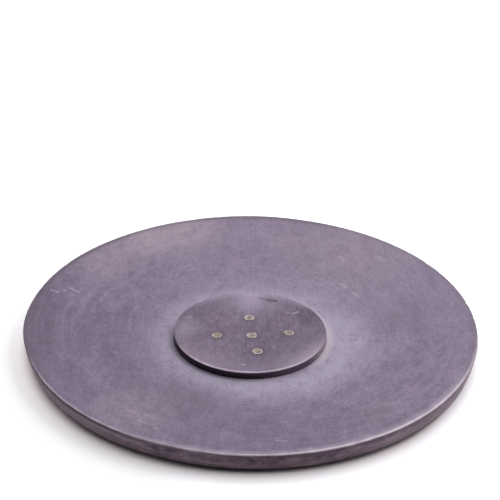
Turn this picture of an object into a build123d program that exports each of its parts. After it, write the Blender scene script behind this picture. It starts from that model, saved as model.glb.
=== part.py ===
"""Incense stick holder: a turned stone dish on four small feet, with a raised centre disc of the same
stone let into its floor. Five metal-lined holes in the disc hold one stick each.

Millimetres, +Z up. The origin is on the table, under the middle of the dish.
"""
import os
from math import cos, radians, sin

from build123d import *

os.makedirs("parts", exist_ok=True)

# Dish, turned from one slab
dish_diameter = 130.0
rim_height = 6.5             # top of the rim above the table
rim_wall_taper = 1.4         # how far the wall leans in towards its lower edge
rim_wall_bulge = 0.15        # how far the wall swells past a straight line
rim_top_bevel = 0.3
rim_top_land = 1.2           # flat ring between the bevelled edge and the hollow
rim_band = 0.3               # upright band between the bevelled edge and the leaning wall
rim_bottom_bevel = 0.35
hollow_depth = 3.3           # from the rim down to the floor beside the disc
hollow_sag = 0.45            # how far the hollow dips below a straight line from rim to disc
base_height = 0.8            # flat underside above the table

# Centre disc, let into a shallow seat in the dish, a little off the middle
disc_diameter = 43.8
disc_offset = -0.25          # to the left of the middle
disc_rise = 2.05             # above the floor beside it
disc_edge_bevel = 0.25
seat_depth = 0.6
seat_clearance = 0.1

# Stick sockets, short metal tubes lining the holes
socket_outer_diameter = 3.2
socket_bore_diameter = 1.7
socket_stand = 0.1           # how far a tube stands above the disc
socket_mouth_chamfer = 0.2
socket_glue_gap = 0.03
hole_mouth_chamfer = 0.15

# Places of the five hand-drilled holes, as shares of the disc's radius: right, then back
hole_place_shares = {
    "centre": (0.02, -0.09),
    "back": (-0.015, 0.35),
    "front": (0.10, -0.48),
    "left": (-0.435, -0.105),
    "right": (0.51, -0.01),
}

# Rubber feet, pressed into pockets under the dish
foot_count = 4
foot_diameter = 10.0
foot_circle_diameter = 88.0
foot_first_angle = 45.0
foot_edge_bevel = 0.4
foot_pocket_depth = 0.8
foot_pocket_clearance = 0.1

cut_overrun = 1.0

# Sizes that follow from the ones above
dish_radius = dish_diameter / 2
disc_radius = disc_diameter / 2
seat_radius = disc_radius + seat_clearance
floor_height = rim_height - hollow_depth
seat_height = floor_height - seat_depth
disc_top_height = floor_height + disc_rise
disc_thickness = disc_top_height - seat_height
socket_length = disc_thickness + socket_stand
hole_diameter = socket_outer_diameter + 2 * socket_glue_gap
foot_pocket_top = base_height + foot_pocket_depth
hole_places = {
    name: (disc_offset + across_share * disc_radius, back_share * disc_radius)
    for name, (across_share, back_share) in hole_place_shares.items()
}
foot_angles = [foot_first_angle + 360 * index / foot_count for index in range(foot_count)]
foot_places = [
    (foot_circle_diameter / 2 * cos(radians(angle)), foot_circle_diameter / 2 * sin(radians(angle)))
    for angle in foot_angles
]


def dish():
    """Shallow dish: leaning outer wall with worn edges, hollow top, seat for the disc, flat base."""
    rim_corner = (dish_radius, rim_height)
    rim_bottom = (dish_radius - rim_wall_taper, base_height)
    wall_top = (dish_radius, rim_height - rim_top_bevel - rim_band)
    hollow_edge = (dish_radius - rim_top_bevel - rim_top_land, rim_height)
    hollow_foot = (seat_radius, floor_height)
    with BuildPart() as turned:
        with BuildSketch(Plane.XZ):
            with BuildLine():
                Line((0, base_height), rim_bottom)
                SagittaArc(rim_bottom, wall_top, -rim_wall_bulge)
                Polyline(wall_top, rim_corner, hollow_edge)
                SagittaArc(hollow_edge, hollow_foot, hollow_sag)
                Polyline(hollow_foot, (0, floor_height), (0, base_height))
            make_face()
            chamfer(vertices().sort_by_distance(rim_corner)[0], rim_top_bevel)
            chamfer(vertices().sort_by_distance(rim_bottom)[0], rim_bottom_bevel)
        revolve(axis=Axis.Z)
        with BuildSketch(Plane.XY.offset(seat_height)):
            with Locations((disc_offset, 0)):
                Circle(seat_radius)
        extrude(amount=seat_depth + cut_overrun, mode=Mode.SUBTRACT)
        with BuildSketch(Plane.XY.offset(base_height - cut_overrun)):
            with Locations(*foot_places):
                Circle(foot_diameter / 2 + foot_pocket_clearance)
        extrude(amount=foot_pocket_depth + cut_overrun, mode=Mode.SUBTRACT)
    return turned.part


def stick_disc():
    """Round disc with a crisp upper edge, drilled through where the sticks stand."""
    with BuildPart() as disc:
        with BuildSketch(Plane.XY.offset(seat_height)):
            with Locations((disc_offset, 0)):
                Circle(disc_radius)
        extrude(amount=disc_thickness)
        chamfer(disc.edges().group_by(Axis.Z)[-1], disc_edge_bevel)
        with Locations(Plane.XY.offset(disc_top_height)):
            with Locations(*hole_places.values()):
                CounterSinkHole(
                    radius=hole_diameter / 2,
                    counter_sink_radius=hole_diameter / 2 + hole_mouth_chamfer,
                    depth=disc_thickness + cut_overrun,
                    counter_sink_angle=90,
                )
    return disc.part


def stick_socket(place):
    """Short tube standing on the floor of the seat, with a slightly opened mouth."""
    with BuildPart() as tube:
        with BuildSketch(Plane.XY.offset(seat_height)):
            with Locations(place):
                Circle(socket_outer_diameter / 2)
                Circle(socket_bore_diameter / 2, mode=Mode.SUBTRACT)
        extrude(amount=socket_length)
        mouth = tube.edges().group_by(Axis.Z)[-1].sort_by(SortBy.RADIUS)[0]
        chamfer(mouth, socket_mouth_chamfer)
    return tube.part


def rubber_foot(place):
    """Low round foot in its pocket, with a bevelled edge where it meets the table."""
    with BuildPart() as foot:
        with BuildSketch(Plane.XY):
            with Locations(place):
                Circle(foot_diameter / 2)
        extrude(amount=foot_pocket_top)
        chamfer(foot.edges().group_by(Axis.Z)[0], foot_edge_bevel)
    return foot.part


export_step(dish(), "parts/dish.step")
export_step(stick_disc(), "parts/stick_disc.step")
for hole_name, hole_place in hole_places.items():
    export_step(stick_socket(hole_place), f"parts/stick_socket_{hole_name}.step")
for foot_number, foot_place in enumerate(foot_places, start=1):
    export_step(rubber_foot(foot_place), f"parts/rubber_foot_{foot_number}.step")
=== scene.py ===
import math

import bmesh
import bpy
from mathutils import Matrix, Quaternion, Vector, noise


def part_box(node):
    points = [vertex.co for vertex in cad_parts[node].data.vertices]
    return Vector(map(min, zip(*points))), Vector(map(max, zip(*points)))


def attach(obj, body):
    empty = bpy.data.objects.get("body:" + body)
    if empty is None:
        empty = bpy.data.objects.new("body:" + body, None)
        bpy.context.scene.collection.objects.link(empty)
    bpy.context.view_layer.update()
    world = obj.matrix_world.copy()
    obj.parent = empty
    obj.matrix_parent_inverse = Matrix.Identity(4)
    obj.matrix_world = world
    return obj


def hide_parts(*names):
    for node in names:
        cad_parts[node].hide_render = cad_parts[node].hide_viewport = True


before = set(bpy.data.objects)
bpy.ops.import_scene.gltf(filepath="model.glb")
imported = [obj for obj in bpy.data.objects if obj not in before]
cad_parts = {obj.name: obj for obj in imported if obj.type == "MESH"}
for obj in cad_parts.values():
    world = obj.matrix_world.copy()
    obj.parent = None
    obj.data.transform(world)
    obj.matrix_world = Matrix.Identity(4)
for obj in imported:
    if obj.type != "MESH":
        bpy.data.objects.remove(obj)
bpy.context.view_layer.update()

# The dish is a shallow plate turned from one slab of soapstone, dyed violet-grey and rubbed back with
# abrasive, so that its edges and a ring round the centre disc have gone pale, and its front edge is also
# painted paler as a glint. Its underside is flat, with four round pockets for the feet, and a shallow
# seat in its floor takes the centre disc.
MM = 0.001
dish_low, dish_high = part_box("dish")
disc_low, disc_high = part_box("stick_disc")
dish_radius = dish_high.x
rim_height = dish_high.z
base_height = dish_low.z
wall_lean = 1.4 * MM
wall_bulge = 0.15 * MM
wall_foot_round = 0.3 * MM
rim_round = 0.3 * MM
rim_band = 0.3 * MM
rim_land = 1.2 * MM
hollow_depth = 3.3 * MM
hollow_sag = 0.45 * MM
floor_height = rim_height - hollow_depth
disc_middle = (disc_low + disc_high) / 2
disc_radius = (disc_high.x - disc_low.x) / 2
seat_clearance = 0.1 * MM
seat_radius = disc_radius + seat_clearance
seat_height = disc_low.z
pocket_clearance = 0.1 * MM
foot_numbers = range(1, 5)
wall_cuts, land_cuts, hollow_cuts = 13, 3, 47
dish_turn_steps = 720
small_turn_steps = 64
merge_distance = 0.002 * MM


def piece_from(name, bm, sharp_angle=35):
    """Makes a finished mesh object of a bmesh, smooth but for its real corners."""
    bmesh.ops.recalc_face_normals(bm, faces=bm.faces[:])
    mesh = bpy.data.meshes.new(name)
    bm.to_mesh(mesh)
    bm.free()
    mesh.shade_smooth()
    mesh.set_sharp_from_angle(angle=math.radians(sharp_angle))
    piece = bpy.data.objects.new(name, mesh)
    bpy.context.scene.collection.objects.link(piece)
    return piece


def wire_through(bm, points):
    """Draws a half section, as radius and height, in the plane that is then turned about Z."""
    verts = [bm.verts.new((radius, 0, height)) for radius, height in points]
    for pair in zip(verts, verts[1:]):
        bm.edges.new(pair)


def corner_at(bm, point):
    """The corner of a half section at a radius and height."""
    target = Vector((point[0], 0, point[1]))
    return min(bm.verts, key=lambda vert: (vert.co - target).length)


def round_corner(bm, point, size, segments):
    """Rounds one corner of a half section."""
    bmesh.ops.bevel(bm, geom=[corner_at(bm, point)], offset=size, offset_type="OFFSET", segments=segments,
                    profile=0.5, affect="VERTICES", material=-1)


def bow(bm, start, end, cuts, rise):
    """Divides the straight stretch between two corners and bows it by rise, to the left of its run."""
    ends = {corner_at(bm, start), corner_at(bm, end)}
    edge = next(edge for edge in bm.edges if ends == set(edge.verts))
    origin = Vector((start[0], 0, start[1]))
    run = Vector((end[0], 0, end[1])) - origin
    side = Vector((-run.z, 0, run.x)).normalized()
    cut = bmesh.ops.subdivide_edges(bm, edges=[edge], cuts=cuts)
    for vert in (v for v in cut["geom_inner"] if isinstance(v, bmesh.types.BMVert)):
        share = (vert.co - origin).dot(run) / run.length_squared
        vert.co += side * (4 * rise * share * (1 - share))


def turn(bm, steps):
    """Turns a half section about Z into a skin."""
    bmesh.ops.spin(bm, geom=bm.verts[:] + bm.edges[:], cent=(0, 0, 0), axis=(0, 0, 1),
                   angle=math.tau, steps=steps, use_merge=True)
    bmesh.ops.remove_doubles(bm, verts=bm.verts[:], dist=merge_distance)


def edges_at(verts):
    """The edges that meet at some corners, each once and in a fixed order."""
    return list(dict.fromkeys(edge for vert in verts for edge in vert.link_edges))


wall_foot = (dish_radius - wall_lean, base_height)
wall_top = (dish_radius, rim_height - rim_round - rim_band)
rim_corner = (dish_radius, rim_height)
hollow_edge = (dish_radius - rim_round - rim_land, rim_height)
hollow_foot = (seat_radius, floor_height)
base_edge = (dish_radius - 2 * wall_lean, base_height)
dish_bm = bmesh.new()
wire_through(dish_bm, [base_edge, wall_foot, wall_top, rim_corner, hollow_edge, hollow_foot,
                       (seat_radius, seat_height), (0, seat_height)])
bow(dish_bm, wall_foot, wall_top, wall_cuts, -wall_bulge)
bow(dish_bm, rim_corner, hollow_edge, land_cuts, 0)
bow(dish_bm, hollow_edge, hollow_foot, hollow_cuts, hollow_sag)
round_corner(dish_bm, wall_foot, wall_foot_round, segments=4)
round_corner(dish_bm, rim_corner, rim_round, segments=6)
turn(dish_bm, dish_turn_steps)

# Four pockets for the feet in the flat base
base_edges = [edge for edge in dish_bm.edges if edge.is_boundary]
pocket_rings = []
for number in foot_numbers:
    foot_low, foot_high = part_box(f"rubber_foot_{number}")
    middle = (foot_low + foot_high) / 2
    ring = bmesh.ops.create_circle(
        dish_bm, segments=small_turn_steps, radius=(foot_high.x - foot_low.x) / 2 + pocket_clearance,
        matrix=Matrix.Translation((middle.x, middle.y, base_height)))["verts"]
    pocket_rings.append((edges_at(ring), foot_high.z))
base_edges += [edge for ring_edges, pocket_top in pocket_rings for edge in ring_edges]
bmesh.ops.triangle_fill(dish_bm, edges=base_edges, use_beauty=True, normal=(0, 0, -1))
for ring_edges, pocket_top in pocket_rings:
    pocket_wall = bmesh.ops.extrude_edge_only(dish_bm, edges=ring_edges)["geom"]
    top_verts = [item for item in pocket_wall if isinstance(item, bmesh.types.BMVert)]
    for vert in top_verts:
        vert.co.z = pocket_top
    top_edges = [edge for edge in edges_at(top_verts) if all(vert in top_verts for vert in edge.verts)]
    bmesh.ops.edgeloop_fill(dish_bm, edges=top_edges)

# The seat lies a little off the middle, as the disc does, and the floor beside it makes up the difference
shift_end = 4 / 3 * seat_radius
for vert in dish_bm.verts:
    radius = math.hypot(vert.co.x, vert.co.y)
    inside = max(0, min(1, (shift_end - radius) / (shift_end - seat_radius)))
    if vert.co.z > base_height + pocket_clearance:
        vert.co.x += disc_middle.x * inside

# Turned by hand: the rim is a little out of round, and its edge is nicked and chipped by use
rim_swells = [
    # angle, half width in degrees, swell in millimetres
    (180, 11, 0.38),
    (90, 14, 0.28),
    (-52, 18, 0.16),
    (-8, 12, 0.12),
    (-110, 11, -0.22),
    (25, 18, -0.15),
    (125, 16, -0.18),
]
rim_chips = [
    # angle, height below the rim, half width along the rim, half height and depth in millimetres
    (-89.4, 1.55, 1.5, 0.80, 0.34),
    (-81.9, 1.35, 1.3, 0.65, 0.30),
    (-86.0, 1.05, 0.9, 0.45, 0.18),
    (-134.0, 1.30, 1.3, 0.55, 0.20),
    (-38.0, 1.15, 1.1, 0.50, 0.18),
    (24.0, 1.20, 1.4, 0.60, 0.22),
    (96.0, 1.30, 1.2, 0.55, 0.20),
    (151.0, 1.15, 1.6, 0.60, 0.22),
]
swell_reach = 12.0 * MM
nick_reach = 0.6 * MM
nick_depth = 0.2 * MM
nick_drop = 0.6
nick_scale, nick_level = 0.55, 0.2
small_nick_scale, small_nick_level, small_nick_share = 1.3, 0.25, 0.5
small_nick_start = Vector((7, 3, 1))
for vert in dish_bm.verts:
    radius = math.hypot(vert.co.x, vert.co.y)
    if radius < dish_radius - swell_reach:
        continue
    outward = Vector((vert.co.x, vert.co.y, 0)) / radius
    angle = math.degrees(math.atan2(vert.co.y, vert.co.x))
    millimetres = vert.co / MM
    from_edge = math.hypot(radius - dish_radius, vert.co.z - rim_height)
    nick = max(0, noise.noise(millimetres * nick_scale) - nick_level)
    small_nick = noise.noise(millimetres * small_nick_scale + small_nick_start) - small_nick_level
    nick += small_nick_share * max(0, small_nick)
    nick *= nick_depth * math.exp(-(from_edge / nick_reach) ** 2)
    push = -nick
    swell_share = max(0, 1 - (dish_radius - radius) / swell_reach)
    for swell_angle, half_width, swell in rim_swells:
        turned = ((angle - swell_angle + 180) % 360 - 180) / half_width
        push += swell * MM * math.exp(-turned ** 2) * swell_share
    for chip_angle, chip_drop, half_width, half_height, depth in rim_chips:
        along = math.radians((angle - chip_angle + 180) % 360 - 180) * radius / (half_width * MM)
        above = (vert.co.z - rim_height + chip_drop * MM) / (half_height * MM)
        if radius > dish_radius - wall_lean:
            push -= depth * MM * math.exp(-along ** 2 - above ** 2)
    vert.co += outward * push
    vert.co.z -= nick_drop * nick
dish = piece_from("turned_dish", dish_bm)


def put(tree, kind, inputs=None, **settings):
    """Adds a node. Settings are its properties, inputs are plain values or the sockets that feed it."""
    node = tree.nodes.new(kind)
    for key, value in settings.items():
        setattr(node, key, value)
    for key, value in (inputs or {}).items():
        if isinstance(value, bpy.types.NodeSocket):
            tree.links.new(value, node.inputs[key])
        else:
            node.inputs[key].default_value = value
    return node


def calc(tree, operation, first, second=0.0, clamp=False):
    """One step of arithmetic on sockets or numbers."""
    return put(tree, "ShaderNodeMath", {0: first, 1: second}, operation=operation, use_clamp=clamp).outputs[0]


def times(tree, first, *others):
    """Masks, shares and numbers multiplied together."""
    for other in others:
        first = calc(tree, "MULTIPLY", first, other)
    return first


def move(tree, operation, first, second=(0, 0, 0)):
    """One step of arithmetic on places and directions."""
    node = put(tree, "ShaderNodeVectorMath", {0: first, 1: second}, operation=operation)
    return node.outputs["Value" if operation in ("LENGTH", "DISTANCE", "DOT_PRODUCT") else "Vector"]


def parts_of(tree, place):
    """A place taken apart: how far it lies to the right, to the back and up."""
    return put(tree, "ShaderNodeSeparateXYZ", {0: place}).outputs


def speckle(tree, place, scale, detail=2.0, roughness=0.5):
    """Cloudy unevenness of one size, from 0 to 1 and mostly near a half."""
    inputs = {"Vector": place, "Scale": scale, "Detail": detail, "Roughness": roughness}
    return put(tree, "ShaderNodeTexNoise", inputs).outputs["Fac"]


def fade(tree, value, start, end):
    """Goes smoothly from 0 at start to 1 at end."""
    inputs = {"Value": value, "From Min": start, "From Max": end}
    return put(tree, "ShaderNodeMapRange", inputs, interpolation_type="SMOOTHSTEP").outputs["Result"]


def fade_over(tree, distance, start, end):
    """Goes smoothly from 0 to 1 between two distances in millimetres."""
    return fade(tree, distance, start * MM, end * MM)


def span(tree, value, start, end, low, high):
    """Goes evenly from low at start to high at end, and no further."""
    inputs = {"Value": value, "From Min": start, "From Max": end, "To Min": low, "To Max": high}
    return put(tree, "ShaderNodeMapRange", inputs).outputs["Result"]


def tint(tree, share, under, over, blend="MIX"):
    """Lays one colour over another by a share."""
    inputs = {"Factor": share, 6: under, 7: over}
    return put(tree, "ShaderNodeMix", inputs, data_type="RGBA", blend_type=blend).outputs[2]


def paint(red, green, blue):
    """A colour as it looks on screen, from 0 to 255, as the light it gives back."""
    def light(level):
        level /= 255
        return level / 12.92 if level <= 0.04045 else ((level + 0.055) / 1.055) ** 2.4
    return light(red), light(green), light(blue), 1.0


def new_group(name, inputs, outputs):
    """An empty effect with named sockets."""
    group = bpy.data.node_groups.new(name, "ShaderNodeTree")
    for side, sockets in (("INPUT", inputs), ("OUTPUT", outputs)):
        for socket_name, socket_type in sockets.items():
            group.interface.new_socket(socket_name, in_out=side, socket_type="NodeSocket" + socket_type)
    return group, put(group, "NodeGroupInput").outputs, put(group, "NodeGroupOutput").inputs


def new_material(name):
    """An empty material with its shader, and the place of each point on the piece."""
    material = bpy.data.materials.new(name)
    material.use_nodes = True
    tree = material.node_tree
    shader = next(node for node in tree.nodes if node.type == "BSDF_PRINCIPLED")
    place = put(tree, "ShaderNodeTexCoord").outputs["Object"]
    return material, tree, shader, place


onto_table = (1, 1, 0)

# Soapstone body: soft clouds of dye, a fine mottle and scattered mineral flecks
grain, grain_in, grain_out = new_group(
    "soapstone_grain",
    {"Place": "Vector", "Ground": "Color", "Cloud": "Color", "Fleck": "Color", "Contrast": "Float"},
    {"Color": "Color", "Height": "Float"})
grain_place = move(grain, "MULTIPLY", grain_in["Place"], (1, 0.6, 1))
grain_roughness = 0.65
cloud_scale, coarse_scale, fine_scale = 62.0, 260.0, 1100.0
fleck_scale, fleck_patch_scale = 620.0, 130.0
clouds = fade(grain, speckle(grain, grain_place, cloud_scale, 4.0, grain_roughness), 0.36, 0.66)
body = tint(grain, clouds, grain_in["Ground"], grain_in["Cloud"])
coarse = speckle(grain, grain_place, coarse_scale, 3.0, grain_roughness)
fine = speckle(grain, grain_place, fine_scale, 3.0, grain_roughness)
coarse_share, fine_share = 0.53, 0.47
mottle = calc(grain, "ADD", times(grain, coarse, coarse_share), times(grain, fine, fine_share))
mottle_tone = times(grain, calc(grain, "SUBTRACT", mottle, 0.5), grain_in["Contrast"])
mottle_tint = put(grain, "ShaderNodeVectorMath", {0: (0.97, 1.1, 0.91), "Scale": mottle_tone},
                  operation="SCALE").outputs["Vector"]
mottled = put(grain, "ShaderNodeVectorMath", {0: mottle_tint, 1: body, 2: body},
              operation="MULTIPLY_ADD").outputs["Vector"]
fleck_cells = put(grain, "ShaderNodeTexVoronoi", {"Vector": grain_in["Place"], "Scale": fleck_scale})
fleck_gap = fleck_cells.outputs["Distance"]
fleck_share = calc(grain, "SUBTRACT", 1.0, fade(grain, fleck_gap, 0.05, 0.22))
fleck_places = speckle(grain, grain_place, fleck_patch_scale, 2.0, grain_roughness)
fleck_share = times(grain, fleck_share, fade(grain, fleck_places, 0.5, 0.7))
flecked = tint(grain, times(grain, fleck_share, 0.35), mottled, grain_in["Fleck"])
grain.links.new(flecked, grain_out["Color"])
grain.links.new(calc(grain, "SUBTRACT", mottle, times(grain, fleck_share, 0.3)), grain_out["Height"])

# Rubbing marks: long arcs left by turning, and short straight hatching left by hand sanding
marks, marks_in, marks_out = new_group("rubbing_marks", {"Place": "Vector"},
                                       {"Arcs": "Float", "Hatching": "Float", "Height": "Float"})
marks_flat = move(marks, "MULTIPLY", marks_in["Place"], onto_table)
arc_radius = move(marks, "LENGTH", marks_flat)
bearing = parts_of(marks, move(marks, "NORMALIZE", marks_flat))
arc_height = parts_of(marks, marks_in["Place"])["Z"]
arcs_per_metre = 480.0
arc_breaks = 1.5
arc_place = put(marks, "ShaderNodeCombineXYZ", {
    0: times(marks, calc(marks, "ADD", arc_radius, arc_height), arcs_per_metre),
    1: times(marks, bearing["X"], arc_breaks),
    2: times(marks, bearing["Y"], arc_breaks)}).outputs[0]
arcs = speckle(marks, arc_place, 1.0, 4.0, 0.8)
marks.links.new(fade(marks, arcs, 0.47, 0.72), marks_out["Arcs"])
stroke_size = (5 * MM, 0.55 * MM, 5 * MM)
hatching = 0.0
for hatch_angle, hatch_seed in ((87, 0.0), (94, 0.3), (79, 0.6)):
    hatch_place = put(marks, "ShaderNodeMapping", {
        "Vector": marks_in["Place"], "Location": (hatch_seed, 0, 0),
        "Rotation": (0, 0, math.radians(hatch_angle)), "Scale": stroke_size}, vector_type="TEXTURE")
    strokes = speckle(marks, hatch_place.outputs["Vector"], 1.0)
    hatching = calc(marks, "MAXIMUM", hatching, fade(marks, strokes, 0.45, 0.8))
marks.links.new(hatching, marks_out["Hatching"])
marks.links.new(calc(marks, "ADD", arcs, times(marks, hatching, -0.6)), marks_out["Height"])

# Edge rubbing and light: a mask at a turned edge, reaching inward over the top and down the wall, for pale
# rubbed stone and also for painted shade and highlights
edge_rub_and_light, wear_in, wear_out = new_group(
    "edge_rub_and_light_mask", {"Place": "Vector", "Edge Radius": "Float", "Edge Height": "Float",
                  "Reach Inward": "Float", "Reach Down": "Float"}, {"Mask": "Float"})
wear_radius = move(edge_rub_and_light, "LENGTH", move(edge_rub_and_light, "MULTIPLY", wear_in["Place"], onto_table))
wear_side = calc(edge_rub_and_light, "SUBTRACT", wear_in["Edge Radius"], wear_radius)
wear_side = calc(edge_rub_and_light, "DIVIDE", calc(edge_rub_and_light, "MAXIMUM", wear_side, 0.0), wear_in["Reach Inward"])
wear_drop = calc(edge_rub_and_light, "SUBTRACT", wear_in["Edge Height"], parts_of(edge_rub_and_light, wear_in["Place"])["Z"])
wear_drop = calc(edge_rub_and_light, "DIVIDE", calc(edge_rub_and_light, "MAXIMUM", wear_drop, 0.0), wear_in["Reach Down"])
wear_gap = calc(edge_rub_and_light, "SQRT", calc(edge_rub_and_light, "ADD", calc(edge_rub_and_light, "POWER", wear_side, 2.0),
                                   calc(edge_rub_and_light, "POWER", wear_drop, 2.0)))
wear_patches = speckle(edge_rub_and_light, wear_in["Place"], 260.0, 3.0)
wear_gap = calc(edge_rub_and_light, "ADD", wear_gap, times(edge_rub_and_light, calc(edge_rub_and_light, "SUBTRACT", wear_patches, 0.5), 0.9))
edge_rub_and_light.links.new(calc(edge_rub_and_light, "SUBTRACT", 1.0, fade(edge_rub_and_light, wear_gap, 0.1, 1.0)), wear_out["Mask"])

# Hairline: one scratch between two points, seen from above, with a slightly shaky run
hairline, hairline_in, hairline_out = new_group(
    "hairline", {"Place": "Vector", "Start": "Vector", "End": "Vector", "Width": "Float"}, {"Mask": "Float"})
line_shake = put(hairline, "ShaderNodeTexNoise", {"Vector": hairline_in["Place"], "Scale": 700.0})
line_jitter = move(hairline, "SUBTRACT", line_shake.outputs["Color"], (0.5, 0.5, 0.5))
line_sway = 0.4 * MM
line_jitter = move(hairline, "MULTIPLY", line_jitter, (line_sway, line_sway, 0))
line_place = move(hairline, "ADD", line_jitter, move(hairline, "MULTIPLY", hairline_in["Place"], onto_table))
line_run = move(hairline, "SUBTRACT", hairline_in["End"], hairline_in["Start"])
line_from = move(hairline, "SUBTRACT", line_place, hairline_in["Start"])
line_share = calc(hairline, "DIVIDE", move(hairline, "DOT_PRODUCT", line_from, line_run),
                  move(hairline, "DOT_PRODUCT", line_run, line_run), clamp=True)
line_foot = put(hairline, "ShaderNodeVectorMath", {0: line_run, "Scale": line_share},
                operation="SCALE").outputs["Vector"]
line_gap = calc(hairline, "DIVIDE", move(hairline, "DISTANCE", line_from, line_foot), hairline_in["Width"])
hairline.links.new(calc(hairline, "SUBTRACT", 1.0, fade(hairline, line_gap, 0.3, 1.0)), hairline_out["Mask"])


def effect(tree, group, inputs):
    """Places an effect in a material with its own values."""
    return put(tree, "ShaderNodeGroup", inputs, node_tree=group).outputs


def scratches(tree, place, strokes):
    """A piece's hairline scratches as one mask: their ends and widths in millimetres, and their shares."""
    mask = 0.0
    for start_x, start_y, end_x, end_y, width, share in strokes:
        stroke = effect(tree, hairline, {"Place": place, "Start": (start_x * MM, start_y * MM, 0),
                                         "End": (end_x * MM, end_y * MM, 0), "Width": width * MM})
        mask = calc(tree, "MAXIMUM", mask, times(tree, stroke["Mask"], share))
    return mask


def towards(tree, parts, across, back):
    """How far a point lies in one level direction, given by its parts to the right and to the back."""
    return calc(tree, "ADD", times(tree, parts["X"], across), times(tree, parts["Y"], back))


def gap_to(tree, flat_place, across, back):
    """How far a point lies from an upright line, seen from above."""
    return move(tree, "DISTANCE", flat_place, (across, back, 0))


def near_spot(tree, flat_place, across, back, reach, full=0):
    """1 up to a full distance from a spot and 0 past its reach, seen from above and in millimetres."""
    return fade_over(tree, gap_to(tree, flat_place, across * MM, back * MM), reach, full)


def give_relief(tree, shader, height, depth):
    """Lets the light catch on a fine unevenness of the surface."""
    bump = put(tree, "ShaderNodeBump", {"Height": height, "Strength": 0.3, "Distance": depth})
    tree.links.new(bump.outputs["Normal"], shader.inputs["Normal"])


def finish_stone(tree, shader, colour, ground, rubbed):
    """Gives a stone piece its colour, the relief of its grain and rubbing marks, and a satin surface."""
    tree.links.new(colour, shader.inputs["Base Color"])
    give_relief(tree, shader, calc(tree, "ADD", ground["Height"], rubbed["Height"]), 0.06 * MM)
    tree.links.new(span(tree, ground["Height"], 0.3, 0.8, 0.58, 0.72), shader.inputs["Roughness"])
    shader.inputs["Specular IOR Level"].default_value = 0.15


# The dish's own finish: darker towards the front left and at the left edge, paler towards the back,
# paler and darker patches, and a pale, uneven ring round the disc. Right beside the disc it is paler at
# its right, partly as painted light, with painted light at its front and painted shade at its left
dish_stone, tree, shader, place = new_material("dish_soapstone")
ground = effect(tree, grain, {"Place": place, "Ground": paint(128, 113, 136), "Cloud": paint(121, 106, 129),
                              "Fleck": paint(178, 166, 182), "Contrast": 2.1})
rubbed = effect(tree, marks, {"Place": place})
parts = parts_of(tree, place)
flat_place = move(tree, "MULTIPLY", place, onto_table)
from_axis = move(tree, "LENGTH", flat_place)
back_share = times(tree, fade_over(tree, towards(tree, parts, 0.4, 1), -10, 55), 0.35)
colour = tint(tree, back_share, ground["Color"], paint(140, 126, 145))
front_left = fade_over(tree, towards(tree, parts, 0.7, 0.8), 25, -40)
colour = tint(tree, front_left, colour, (0.79, 0.78, 0.80, 1), blend="MULTIPLY")
from_side = calc(tree, "ADD", parts["X"], times(tree, calc(tree, "ABSOLUTE", parts["Y"]), 0.2))
left_rim = fade_over(tree, from_side, -46, -63)
colour = tint(tree, left_rim, colour, (0.72, 0.7, 0.74, 1), blend="MULTIPLY")
from_disc = calc(tree, "SUBTRACT", gap_to(tree, flat_place, disc_middle.x, disc_middle.y), disc_radius)
ring_noise = speckle(tree, place, 45.0, 3.0)
ring_place = calc(tree, "DIVIDE", gap_to(tree, flat_place, 4.0 * MM, -2.8 * MM), dish_radius)
ring_place = calc(tree, "ADD", ring_place, times(tree, calc(tree, "SUBTRACT", ring_noise, 0.5), 0.09))
ring_tone = put(tree, "ShaderNodeValToRGB", {"Fac": ring_place})
ring_stops = [
    # distance from the ring's middle as a share of the dish's radius, share of pale stone
    (0.385, 0.9),
    (0.415, 0.7),
    (0.445, 0.56),
    (0.475, 0.4),
    (0.51, 0.22),
    (0.555, 0.11),
    (0.66, 0.0),
]
for index, (stop, share) in enumerate(ring_stops):
    stops = ring_tone.color_ramp.elements
    element = stops[index] if index < 2 else stops.new(stop)
    element.position = stop
    element.color = (share, share, share, 1)
ring_grain = times(tree, calc(tree, "SUBTRACT", ground["Height"], 0.5), 3.0)
ring_grain = calc(tree, "ADD", ring_grain, 1.0)
near_ring = times(tree, fade_over(tree, from_disc, 9, 2), 0.75)
ring_share = times(tree, calc(tree, "MAXIMUM", ring_tone.outputs["Color"], near_ring), ring_grain)
colour = tint(tree, ring_share, colour, paint(160, 150, 171))
dish_patches = [
    # across and back, reach in millimetres, share; below zero for stone left darker
    (-32, -42, 18, 0.2),
    (-20, 57, 16, 0.42),
    (-33, 51, 15, 0.42),
    (-44, 39, 16, 0.27),
    (30, 44, 28, 0.15),
    (36, -40, 13, 0.12),
    (12, 52, 11, 0.12),
    (-15, -32, 15, -0.3),
    (43, 9, 13, -0.25),
    (26, 17, 11, -0.15),
]
for patch_x, patch_y, patch_reach, patch_share in dish_patches:
    near_patch = times(tree, near_spot(tree, flat_place, patch_x, patch_y, patch_reach), abs(patch_share))
    if patch_share > 0:
        colour = tint(tree, times(tree, near_patch, ring_grain), colour, paint(175, 161, 170))
    else:
        colour = tint(tree, near_patch, colour, paint(72, 60, 78))
pale_beside_disc = paint(208, 194, 202)
# Beside the disc's right, a pale band that is partly painted light against the shade of the disc's side
right_pale_beside_disc = times(tree, fade_over(tree, from_disc, 3.2, 0.2),
                   fade_over(tree, towards(tree, parts, 0.985, 0.17), 10, 20))
colour = tint(tree, times(tree, right_pale_beside_disc, 0.7), colour, pale_beside_disc)
# Painted light at the disc's front foot, cancelling the shade of its side
front_painted_light = times(tree, fade_over(tree, from_disc, 2.2, 0.3),
                   near_spot(tree, flat_place, 1.5, -22.5, 11, 4))
colour = tint(tree, times(tree, front_painted_light, 0.45), colour, pale_beside_disc)
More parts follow.
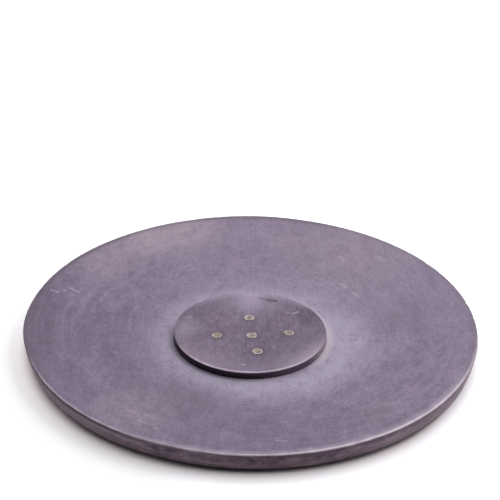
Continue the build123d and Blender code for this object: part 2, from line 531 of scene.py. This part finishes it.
# Painted shade at the disc's front left foot, where its side shades the dish
left_painted_shade = times(tree, fade_over(tree, from_disc, 2.4, -0.4),
                  fade_over(tree, towards(tree, parts, -0.64, -0.77), 9, 19))
colour = tint(tree, times(tree, left_painted_shade, 0.7), colour, paint(40, 30, 44))
colour = tint(tree, times(tree, rubbed["Hatching"], 0.1), colour, paint(160, 148, 166))
on_top = fade_over(tree, parts["Z"], 1.8, 2.3)
colour = tint(tree, on_top, ground["Color"], colour)

# The wall keeps more of its dark dye, streaked along the rim. Painted light makes it paler towards the
# sides and lower down, it is darker in a band under the edge, most at the left, and painted shade darkens its
# foot
below_rim = calc(tree, "SUBTRACT", rim_height, parts["Z"])
on_wall = times(tree, fade(tree, from_axis, dish_radius - 2.1 * MM, dish_radius - 1.8 * MM),
                fade_over(tree, below_rim, 0.1, 0.3))
along_rim = move(tree, "MULTIPLY", place, (0.35, 0.8, 1))
wall_dye = effect(tree, grain, {"Place": along_rim, "Ground": paint(121, 102, 118),
                                "Cloud": paint(104, 85, 100), "Fleck": paint(171, 156, 166), "Contrast": 5.1})
from_front = calc(tree, "ABSOLUTE", calc(tree, "SUBTRACT", parts["X"], 2 * MM))
# Painted light: the wall is paler towards the sides and lower down, where the lamps and the floor light it
painted_wall_light = calc(tree, "ADD", times(tree, fade_over(tree, from_front, 26, 50), 0.45),
                  times(tree, fade_over(tree, below_rim, 2.4, 3.8), 0.2))
wall_colour = tint(tree, painted_wall_light, wall_dye["Color"], paint(152, 134, 146))
under_share = span(tree, parts["X"], -15 * MM, -40 * MM, 0.45, 0.8)
under_edge = times(tree, fade_over(tree, below_rim, 1.8, 0.6), under_share)
wall_colour = tint(tree, under_edge, wall_colour, paint(81, 67, 78))
# Painted shade: the wall's foot is darkened where it meets the floor
wall_colour = tint(tree, fade_over(tree, below_rim, 4.8, 5.5), wall_colour, paint(65, 54, 60))
front_place = put(tree, "ShaderNodeCombineXYZ", {0: parts["X"], 1: parts["Z"]}).outputs[0]
on_front = fade_over(tree, parts["Y"], -30, -40)
wall_pale = scratches(tree, front_place, [(2.8, 3.5, 3.0, 3.3, 0.7, 0.4), (9.2, 3.6, 12.8, 4.3, 1.3, 0.3)])
wall_colour = tint(tree, times(tree, wall_pale, on_front), wall_colour, paint(165, 147, 158))
wall_dark = scratches(tree, front_place, [(-0.2, 5.4, 1.4, 4.1, 0.75, 0.6), (8.4, 5.5, 9.4, 4.9, 0.6, 0.55)])
wall_colour = tint(tree, times(tree, wall_dark, on_front), wall_colour, paint(52, 40, 48))
to_foot = fade_over(tree, below_rim, 0.8, 5.0)
wall_colour = tint(tree, to_foot, wall_colour, (0.965, 1.0, 0.915, 1), blend="MULTIPLY")
colour = tint(tree, times(tree, on_wall, 0.92), colour, wall_colour)
arc_patches = calc(tree, "MAXIMUM", on_wall, fade(tree, ring_noise, 0.34, 0.64))
arc_share = times(tree, span(tree, on_wall, 0, 1, 0.17, 0.4), arc_patches)
colour = tint(tree, times(tree, rubbed["Arcs"], arc_share), colour, paint(186, 172, 190))
under_line = times(tree, fade_over(tree, below_rim, 1.7, 0.7), on_wall, fade_over(tree, parts["X"], -26, -40))
colour = tint(tree, times(tree, under_line, 0.6), colour, paint(40, 30, 38))

# The rim's edge has painted shade at the back and is pale along the front, most of all at the right,
# partly rubbed and partly a painted glint
rim_edge = effect(tree, edge_rub_and_light, {"Place": place, "Edge Radius": dish_radius, "Edge Height": rim_height,
                               "Reach Inward": 3.0 * MM, "Reach Down": 0.6 * MM})
# Painted shade on the rim's edge at the back and the back left
back_left = near_spot(tree, flat_place, -48, 43, 27, 8)
edge_shade = calc(tree, "ADD", times(tree, fade_over(tree, parts["Y"], -42, -18), 0.4),
                  times(tree, back_left, 0.3))
colour = tint(tree, times(tree, rim_edge["Mask"], edge_shade), colour, paint(100, 90, 104))
edge_halo = times(tree, fade_over(tree, towards(tree, parts, -0.33, 1), -32, -56), 0.36)
colour = tint(tree, times(tree, rim_edge["Mask"], edge_halo), colour, paint(202, 187, 203))
thin_shade = times(tree, fade(tree, from_axis, dish_radius - 2.2 * MM, dish_radius - 0.6 * MM),
                   fade_over(tree, towards(tree, parts, -0.5, 0.87), 25, 50))
colour = tint(tree, times(tree, thin_shade, 0.36), colour, paint(66, 60, 68))
rim_wear_and_glint = effect(tree, edge_rub_and_light, {"Place": place, "Edge Radius": dish_radius, "Edge Height": rim_height,
                               "Reach Inward": 0.85 * MM, "Reach Down": 0.5 * MM})
# Painted glint: the rubbed edge is brightened most at the front right, where the light glints on it, less at
# the front left
right_wear_and_glint = span(tree, towards(tree, parts, 0.6, -1), 38 * MM, 74 * MM, 0.0, 0.78)
left_wear = times(tree, fade_over(tree, towards(tree, parts, -0.6, -0.8), 48, 60), 0.4)
wear_and_glint_share = calc(tree, "MAXIMUM", right_wear_and_glint, left_wear)
colour = tint(tree, times(tree, rim_wear_and_glint["Mask"], wear_and_glint_share), colour, paint(235, 222, 234))
dish_scratches = scratches(tree, place, [
    (-58.9, 19.5, -56.5, 19.0, 0.24, 0.45),
    (-53.6, 21.7, -52.4, 21.3, 0.24, 0.45),
    (-52.4, 21.2, -50.6, 20.0, 0.24, 0.45),
    (-52.7, 18.1, -51.9, 18.2, 0.2, 0.45),
    (-55.2, 20.1, -54.6, 19.9, 0.24, 0.45),
    (7.2, -56.5, 10.3, -56.8, 0.4, 0.2),
    (-30.3, -47.7, -27.6, -49.4, 0.7, 0.12),
    (-33.7, -42.1, -31.2, -43.7, 0.7, 0.1),
    (-28.7, -43.9, -28.0, -44.8, 0.8, 0.12),
    (-25.6, -51.8, -25.0, -52.2, 0.8, 0.12),
    (26.3, 43.8, 27.6, 41.4, 0.9, 0.1),
    (26.1, 29.5, 27.8, 27.8, 0.9, 0.12),
    (30.1, 24.5, 31.6, 22.8, 0.9, 0.12),
    (37.9, 42.9, 39.4, 40.7, 0.9, 0.1),
])
colour = tint(tree, times(tree, dish_scratches, on_top), colour, paint(228, 218, 228))
finish_stone(tree, shader, colour, ground, rubbed)
dish.data.materials.append(dish_stone)
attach(dish, "root")
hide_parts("dish")

# The centre disc is a flat round of the same stone, bonded into the dish's seat. Its upper edge is crisp
# and rubbed pale, at the front also painted paler as a highlight, and five holes are drilled through it
# by hand, each with a lightly broken mouth.
disc_top = disc_high.z
disc_edge_round = 0.22 * MM
hole_gap = 0.03 * MM
hole_mouth_round = 0.15 * MM
disc_edge_steps, hole_edge_steps = 360, 48
socket_names = ("centre", "back", "front", "left", "right")
socket_boxes = {name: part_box(f"stick_socket_{name}") for name in socket_names}
disc_bm = bmesh.new()
disc_ring = bmesh.ops.create_circle(
    disc_bm, segments=disc_edge_steps, radius=disc_radius,
    matrix=Matrix.Translation((disc_middle.x, disc_middle.y, disc_top)))["verts"]
for socket_low, socket_high in socket_boxes.values():
    middle = (socket_low + socket_high) / 2
    bmesh.ops.create_circle(
        disc_bm, segments=hole_edge_steps, radius=(socket_high.x - socket_low.x) / 2 + hole_gap,
        matrix=Matrix.Translation((middle.x, middle.y, disc_top)))
disc_edges = disc_bm.edges[:]
bmesh.ops.triangle_fill(disc_bm, edges=disc_edges, use_beauty=True, normal=(0, 0, 1))
disc_walls = bmesh.ops.extrude_edge_only(disc_bm, edges=disc_edges)["geom"]
for vert in (item for item in disc_walls if isinstance(item, bmesh.types.BMVert)):
    vert.co.z = disc_low.z
bmesh.ops.triangle_fill(disc_bm, edges=[edge for edge in disc_bm.edges if edge.is_boundary],
                        use_beauty=True, normal=(0, 0, -1))
outer_edges = [edge for edge in disc_edges if all(vert in disc_ring for vert in edge.verts)]
mouth_edges = [edge for edge in disc_edges if edge not in outer_edges]
for edges, size in ((outer_edges, disc_edge_round), (mouth_edges, hole_mouth_round)):
    bmesh.ops.bevel(disc_bm, geom=edges, offset=size, offset_type="OFFSET", segments=4, profile=0.5,
                    affect="EDGES", material=-1)
disc = piece_from("stick_disc_top", disc_bm, sharp_angle=15)

# Its top is rubbed pale at the back, the left and the front edge, and has painted shade round the tubes,
# a little to their front
disc_stone, tree, shader, place = new_material("disc_soapstone")
ground = effect(tree, grain, {"Place": place, "Ground": paint(107, 92, 112), "Cloud": paint(95, 80, 101),
                              "Fleck": paint(178, 164, 180), "Contrast": 2.9})
rubbed = effect(tree, marks, {"Place": place})
own_place = move(tree, "SUBTRACT", place, (disc_middle.x, disc_middle.y, 0))
parts = parts_of(tree, own_place)
flat_place = move(tree, "MULTIPLY", own_place, onto_table)
from_middle = move(tree, "LENGTH", flat_place)
rubbed_pale = paint(166, 151, 173)
front_rub = times(tree, fade_over(tree, from_middle, 9, 21), fade_over(tree, parts["Y"], 4, -16))
colour = tint(tree, times(tree, front_rub, 0.38), ground["Color"], paint(158, 141, 164))
sideways = calc(tree, "ABSOLUTE", parts["X"])
narrow_rub = times(tree, fade_over(tree, sideways, 7, 0.5), fade_over(tree, parts["Y"], 3, 17))
broad_rub = times(tree, fade_over(tree, sideways, 13, 7), fade_over(tree, parts["Y"], 9, 17))
back_rub = calc(tree, "ADD", times(tree, narrow_rub, 0.47), times(tree, broad_rub, 0.2))
colour = tint(tree, back_rub, colour, rubbed_pale)
left_rub = times(tree, near_spot(tree, flat_place, -19.5, 2, 8, 1), 0.35)
colour = tint(tree, left_rub, colour, rubbed_pale)
front_dye = times(tree, near_spot(tree, flat_place, 2.2, -14.5, 9, 1), 0.3)
colour = tint(tree, front_dye, colour, paint(72, 58, 76))
by_edge = calc(tree, "ADD", from_middle, times(tree, parts["X"], 0.15))
back_shade = times(tree, fade_over(tree, sideways, 8, 16),
                   fade_over(tree, towards(tree, parts, -0.25, 1), -3, 4), fade_over(tree, by_edge, 16, 20))
colour = tint(tree, back_shade, colour, (0.64, 0.62, 0.66, 1), blend="MULTIPLY")
back_edge = times(tree, fade_over(tree, from_middle, 18.5, 21.5), fade_over(tree, parts["Y"], 11, 16))
colour = tint(tree, times(tree, back_edge, 0.35), colour, rubbed_pale)
corner_rub = times(tree, fade_over(tree, towards(tree, parts, 0.8, -0.6), 16.8, 21), 0.45)
colour = tint(tree, corner_rub, colour, paint(172, 158, 174))
colour = tint(tree, times(tree, rubbed["Hatching"], 0.14), colour, paint(180, 165, 185))
colour = tint(tree, times(tree, rubbed["Arcs"], 0.05), colour, paint(206, 194, 209))
near_tube = 1.0
for socket_low, socket_high in socket_boxes.values():
    middle = (socket_low + socket_high) / 2 - disc_middle
    near_tube = calc(tree, "MINIMUM", near_tube, gap_to(tree, flat_place, middle.x, middle.y - 0.6 * MM))
# Painted shade round each tube, a little to its front
colour = tint(tree, times(tree, fade_over(tree, near_tube, 3.4, 1.6), 0.42), colour, paint(80, 66, 83))

# Its side is painted nearly black at the front left as shade, paler to the right as light, and paler just
# under the edge
disc_drop = calc(tree, "SUBTRACT", disc_top, parts["Z"])
on_side = times(tree, fade(tree, from_middle, disc_radius - 0.3 * MM, disc_radius - 0.1 * MM),
                fade_over(tree, disc_drop, 0.12, 0.3))
side_shade_and_light = tint(tree, fade_over(tree, parts["X"], -3, 15), paint(24, 11, 28), paint(92, 77, 96))
side_shade_and_light = tint(tree, fade_over(tree, parts["X"], 16, 21.5), side_shade_and_light, paint(160, 147, 160))
upper_side = times(tree, fade_over(tree, disc_drop, 1.3, 0.3), fade_over(tree, parts["X"], -22, 0))
side_shade_and_light = tint(tree, times(tree, upper_side, 0.42), side_shade_and_light, paint(104, 89, 108))
colour = tint(tree, times(tree, on_side, 0.95), colour, side_shade_and_light)
disc_edge = effect(tree, edge_rub_and_light, {"Place": own_place, "Edge Radius": disc_radius, "Edge Height": disc_top,
                                "Reach Inward": 1.1 * MM, "Reach Down": 0.25 * MM})
# Painted highlight: the rubbed pale edge is brightened only along the front
edge_rub_and_highlight = span(tree, parts["Y"], -7 * MM, -17 * MM, 0.0, 0.6)
colour = tint(tree, times(tree, disc_edge["Mask"], edge_rub_and_highlight), colour, paint(222, 208, 223))
disc_scratches = scratches(tree, place, [
    (10.6, 10.7, 12.1, 10.5, 0.2, 0.4),
    (12.2, 10.6, 13.6, 11.35, 0.3, 0.4),
    (-2.2, -17.65, -1.8, -17.65, 0.5, 0.3),
    (-18.6, 7.3, -17.4, 7.35, 0.7, 0.12),
    (5.8, 15.0, 5.7, 9.5, 1.3, 0.08),
])
colour = tint(tree, disc_scratches, colour, paint(228, 216, 228))
disc_scuff = scratches(tree, place, [(2.5, 18.6, 4.3, 18.1, 0.6, 0.45), (4.9, 17.7, 6.9, 17.3, 1.1, 0.75)])
colour = tint(tree, disc_scuff, colour, paint(70, 55, 74))
finish_stone(tree, shader, colour, ground, rubbed)
disc.data.materials.append(disc_stone)
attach(disc, "root")
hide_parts("stick_disc")

# The sockets are five short lengths of dull pale metal tube, pushed into the disc's holes and standing a
# hair above it. Their mouths are opened a little, and their bores are pale.
socket_bore = 0.85 * MM
socket_mouth = 0.2 * MM
socket_lip = 0.12 * MM
bore_tolerance = 0.02 * MM
socket_metal, tree, shader, place = new_material("dull_socket_metal")
tarnish = speckle(tree, place, 900.0, 4.0)
colour = tint(tree, fade(tree, tarnish, 0.42, 0.68), paint(144, 132, 131), paint(116, 105, 105))
sideways = calc(tree, "ABSOLUTE", parts_of(tree, place)["X"])
colour = tint(tree, fade_over(tree, sideways, 4, 8), colour, (0.79, 0.78, 0.77, 1), blend="MULTIPLY")
pale_bore = put(tree, "ShaderNodeAttribute", attribute_name="bore").outputs["Fac"]
colour = tint(tree, pale_bore, colour, paint(230, 221, 215))
tree.links.new(colour, shader.inputs["Base Color"])
tree.links.new(span(tree, tarnish, 0.3, 0.7, 0.45, 0.65), shader.inputs["Roughness"])
shader.inputs["Metallic"].default_value = 0.3
give_relief(tree, shader, tarnish, 0.05 * MM)
for name, (socket_low, socket_high) in socket_boxes.items():
    middle = (socket_low + socket_high) / 2
    tube_radius = (socket_high.x - socket_low.x) / 2
    tube_bm = bmesh.new()
    wire_through(tube_bm, [(socket_bore, socket_low.z), (tube_radius, socket_low.z),
                           (tube_radius, socket_high.z), (socket_bore, socket_high.z),
                           (socket_bore, socket_low.z)])
    round_corner(tube_bm, (tube_radius, socket_high.z), socket_lip, segments=4)
    round_corner(tube_bm, (socket_bore, socket_high.z), socket_mouth, segments=5)
    turn(tube_bm, small_turn_steps)
    bore_layer = tube_bm.verts.layers.float.new("bore")
    for vert in tube_bm.verts:
        vert[bore_layer] = float(math.hypot(vert.co.x, vert.co.y) < socket_bore + bore_tolerance)
    bmesh.ops.translate(tube_bm, verts=tube_bm.verts[:], vec=(middle.x, middle.y, 0))
    tube = piece_from(f"stick_tube_{name}", tube_bm)
    tube.data.materials.append(socket_metal)
    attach(tube, "root")
    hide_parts(f"stick_socket_{name}")

# The feet are four low rounds of black rubber, pressed into pockets under the dish, so that the stone
# neither slides on the table nor scratches it. Their lower edges are rounded over.
foot_edge_round = 0.4 * MM
foot_rubber, tree, shader, place = new_material("black_foot_rubber")
bloom = speckle(tree, place, 240.0, 4.0)
colour = tint(tree, fade(tree, bloom, 0.45, 0.75), paint(30, 29, 31), paint(52, 51, 52))
tree.links.new(colour, shader.inputs["Base Color"])
tree.links.new(span(tree, bloom, 0.3, 0.7, 0.62, 0.8), shader.inputs["Roughness"])
give_relief(tree, shader, speckle(tree, place, 2600.0), 0.05 * MM)
for number in foot_numbers:
    foot_low, foot_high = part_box(f"rubber_foot_{number}")
    middle = (foot_low + foot_high) / 2
    foot_radius = (foot_high.x - foot_low.x) / 2
    foot_bm = bmesh.new()
    wire_through(foot_bm, [(0, foot_low.z), (foot_radius, foot_low.z), (foot_radius, foot_high.z),
                           (0, foot_high.z)])
    round_corner(foot_bm, (foot_radius, foot_low.z), foot_edge_round, segments=6)
    turn(foot_bm, small_turn_steps)
    bmesh.ops.translate(foot_bm, verts=foot_bm.verts[:], vec=(middle.x, middle.y, 0))
    foot = piece_from(f"rubber_bumper_{number}", foot_bm)
    foot.data.materials.append(foot_rubber)
    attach(foot, "root")
    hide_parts(f"rubber_foot_{number}")

# The floor is a wide sheet of white card with the holder's soft shadow on it. Where the camera sees it, the
# card carries a painted shadow near the holder, darkest just under the wall and deeper at the left, and
# turns pure white farther out, and the room round it is white.
floor_half = 4.0
card_white_from, card_white_at = 200, 350
room_light = 0.04
floor_bm = bmesh.new()
bmesh.ops.create_grid(floor_bm, x_segments=1, y_segments=1, size=floor_half)
floor = piece_from("white_floor", floor_bm)


def seen_rays(tree):
    """1 for what the camera sees, also in a reflection or through glass."""
    rays = put(tree, "ShaderNodeLightPath").outputs
    return calc(tree, "MAXIMUM", calc(tree, "MAXIMUM", rays["Is Camera Ray"], rays["Is Glossy Ray"]),
                rays["Is Transmission Ray"])


floor_card, tree, shader, place = new_material("white_card")
seen = seen_rays(tree)
from_holder = move(tree, "LENGTH", place)
card_across = parts_of(tree, place)["X"]
# Painted shadow on the card: dark just under the wall, toned rings round the holder
painted_shade_under_wall = times(tree, fade_over(tree, from_holder, 64.8, 63.2),
                   fade_over(tree, calc(tree, "ABSOLUTE", card_across), 56, 44))
seen_card = tint(tree, painted_shade_under_wall, (1.53, 1.41, 1.43, 1), (0.85, 0.78, 0.79, 1))
seen_card = tint(tree, fade_over(tree, from_holder, 64.5, 67), seen_card, (1.43, 1.41, 1.45, 1))
seen_card = tint(tree, fade_over(tree, from_holder, 68, 76), seen_card, (1.335, 1.37, 1.36, 1))
# Painted shadow, deeper at the left
painted_shadow_left = times(tree, fade_over(tree, card_across, -10, -30), fade_over(tree, from_holder, 65.5, 69))
seen_card = tint(tree, painted_shadow_left, seen_card, (0.86, 0.855, 0.855, 1), blend="MULTIPLY")
# Painted shadow tint, less pink at the right
shadow_tint_right = fade_over(tree, card_across, 40, 60)
seen_card = tint(tree, shadow_tint_right, seen_card, (0.985, 1.04, 1.045, 1), blend="MULTIPLY")
seen_card = tint(tree, fade_over(tree, from_holder, 78, 100), seen_card, (1.44, 1.44, 1.44, 1))
card_colour = tint(tree, seen, (0.96, 0.935, 0.947, 1), seen_card)
tree.links.new(card_colour, shader.inputs["Base Color"])
shader.inputs["Roughness"].default_value = 0.9
shader.inputs["Specular IOR Level"].default_value = 0.0
far_white = times(tree, seen, fade_over(tree, from_holder, card_white_from, card_white_at))
tree.links.new(far_white, shader.inputs["Emission Strength"])
floor.data.materials.append(floor_card)
world = bpy.data.worlds.new("white_room")
bpy.context.scene.world = world
world.use_nodes = True
tree = world.node_tree
background = next(node for node in tree.nodes if node.type == "BACKGROUND")
background.inputs["Color"].default_value = (1, 1, 1, 1)
tree.links.new(span(tree, seen_rays(tree), 0, 1, room_light, 1.0), background.inputs["Strength"])


# Soft panels light the holder: a broad one from behind, one from each side, the left one weaker, and a
# smaller one from above. The front is left open, so the wall towards the camera is darker than the top.
def soft_panel(name, place, aim, width, height, glow):
    """A lamp panel at a place, turned to face the aim point, with an even glow over its face."""
    lamp = bpy.data.lights.new(name, "AREA")
    lamp.shape = "RECTANGLE"
    lamp.size = width
    lamp.size_y = height
    lamp.energy = glow * width * height * math.pi
    panel = bpy.data.objects.new(name, lamp)
    panel.location = place
    panel.rotation_mode = "QUATERNION"
    panel.rotation_quaternion = (Vector(aim) - Vector(place)).to_track_quat("-Z", "Y")
    bpy.context.scene.collection.objects.link(panel)


soft_panel("back_panel", (0.0, 0.62, 0.55), (0, 0, 0), 1.1, 0.8, 1.77)
soft_panel("right_panel", (0.62, 0.12, 0.5), (0, 0, 0), 0.9, 0.8, 1.77)
soft_panel("left_panel", (-0.62, 0.12, 0.5), (0, 0, 0), 0.9, 0.8, 0.66)
soft_panel("top_panel", (0.0, 0.05, 0.95), (0, 0, 0), 0.6, 0.6, 2.16)

# The camera looks down on the holder from in front, a little rolled, through a long lens.
camera_data = bpy.data.cameras.new("camera")
camera_data.sensor_width = 36.0
camera_data.lens = 221.45
camera = bpy.data.objects.new("camera", camera_data)
camera_place = Vector((0, -0.7515, rim_height + 0.4654))
camera_aim = Vector((-0.0007, 0, rim_height + 0.02597))
camera_roll = math.radians(1.0)
camera.location = camera_place
camera.rotation_mode = "QUATERNION"
camera.rotation_quaternion = ((camera_aim - camera_place).to_track_quat("-Z", "Y")
                              @ Quaternion((0, 0, 1), camera_roll))
bpy.context.scene.collection.objects.link(camera)
bpy.context.scene.camera = camera
bpy.context.scene.view_settings.view_transform = "Standard"
